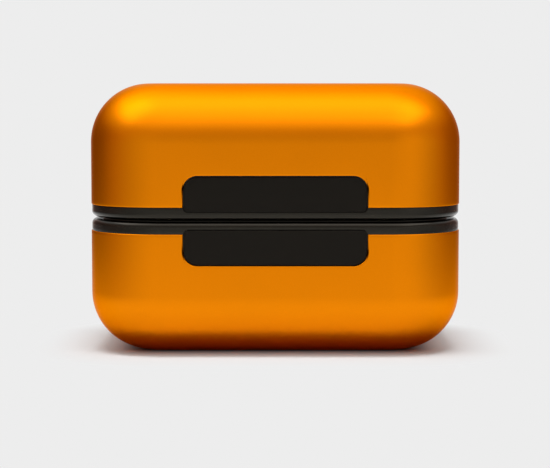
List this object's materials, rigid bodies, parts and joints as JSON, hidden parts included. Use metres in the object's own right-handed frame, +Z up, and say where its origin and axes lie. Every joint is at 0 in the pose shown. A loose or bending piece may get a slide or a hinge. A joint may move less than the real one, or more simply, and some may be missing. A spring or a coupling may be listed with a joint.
{
  "type": "rechargeable hand warmer pair",
  "caption": "Pair of rounded box-shaped rechargeable hand warmers held face to face by magnets, each a drawn metal shell with a black rim, plates, a charging port and a press button.",
  "frame": {"origin": "centre of the lower unit's closed face, on the surface that the pair stands on", "axes": "+X along the long side, -Y towards the bare name plates, +Y towards the ports and buttons, +Z up, across the mating faces"},
  "size_m": [0.08, 0.05, 0.0576],
  "materials": {
    "orange_anodised": "fine bead-blasted, orange anodised, satin",
    "black_moulding": "fine moulded texture, warm black",
    "black_plate": "smooth matte, warm black",
    "black_face": "fine moulded texture, black",
    "button_black": "smooth matte, warm black",
    "switch_plastic": "moulded",
    "clear_window": "frosted, translucent",
    "lamp_body": "moulded",
    "port_steel": "drawn, nickel-plated",
    "port_insulator": "moulded",
    "board_laminate": "green solder mask",
    "chip_resin": "moulded resin",
    "ferrite": "pressed powder",
    "tray_plastic": "moulded",
    "battery_foil": "laminated foil",
    "foam": "closed-cell foam",
    "silicone_pad": "soft silicone",
    "heater_aluminium": "rolled",
    "sensor_resin": "dipped resin",
    "lead_insulation": "extruded silicone",
    "screw_steel": "zinc-plated",
    "magnet_nickel": "nickel-plated"
  },
  "bodies": {
    "lower_unit": {"lower_shell": "orange_anodised", "lower_rim_frame": "black_moulding", "lower_front_plate": "black_plate", "lower_control_plate": "black_plate", "lower_face_plate": "black_face", "lower_tact_switch": "switch_plastic", "lower_light_bar": "clear_window", "lower_status_leds": "lamp_body", "lower_port_shell": "port_steel", "lower_port_insert": "port_insulator", "lower_circuit_board": "board_laminate", "lower_board_chips": "chip_resin", "lower_power_coil": "ferrite", "lower_battery_tray": "tray_plastic", "lower_battery_cell": "battery_foil", "lower_battery_pad": "foam", "lower_heat_pad": "silicone_pad", "lower_heater_plate": "heater_aluminium", "lower_insulation_pad": "foam", "lower_heat_sensor": "sensor_resin", "lower_battery_leads": "lead_insulation", "lower_heater_leads": "lead_insulation", "lower_screws": "screw_steel", "lower_magnets": "magnet_nickel"},
    "lower_button": {"lower_power_button": "button_black", "lower_switch_plunger": "switch_plastic"},
    "upper_unit": {"upper_shell": "orange_anodised", "upper_rim_frame": "black_moulding", "upper_front_plate": "black_plate", "upper_control_plate": "black_plate", "upper_face_plate": "black_face", "upper_tact_switch": "switch_plastic", "upper_light_bar": "clear_window", "upper_status_leds": "lamp_body", "upper_port_shell": "port_steel", "upper_port_insert": "port_insulator", "upper_circuit_board": "board_laminate", "upper_board_chips": "chip_resin", "upper_power_coil": "ferrite", "upper_battery_tray": "tray_plastic", "upper_battery_cell": "battery_foil", "upper_battery_pad": "foam", "upper_heat_pad": "silicone_pad", "upper_heater_plate": "heater_aluminium", "upper_insulation_pad": "foam", "upper_heat_sensor": "sensor_resin", "upper_battery_leads": "lead_insulation", "upper_heater_leads": "lead_insulation", "upper_screws": "screw_steel", "upper_magnets": "magnet_nickel"},
    "upper_button": {"upper_power_button": "button_black", "upper_switch_plunger": "switch_plastic"}
  },
  "joints": [
    {"name": "upper_unit_lift", "type": "slide", "parent": "lower_unit", "child": "upper_unit", "axis": [0, 0, 1], "range_m": [0, 0.08]},
    {"name": "lower_button_press", "type": "slide", "parent": "lower_unit", "child": "lower_button", "axis": [0, -1, 0], "range_m": [0, 0.00035], "stiffness_N_per_m": 1500},
    {"name": "upper_button_press", "type": "slide", "parent": "upper_unit", "child": "upper_button", "axis": [0, -1, 0], "range_m": [0, 0.00035], "stiffness_N_per_m": 1500}
  ]
}
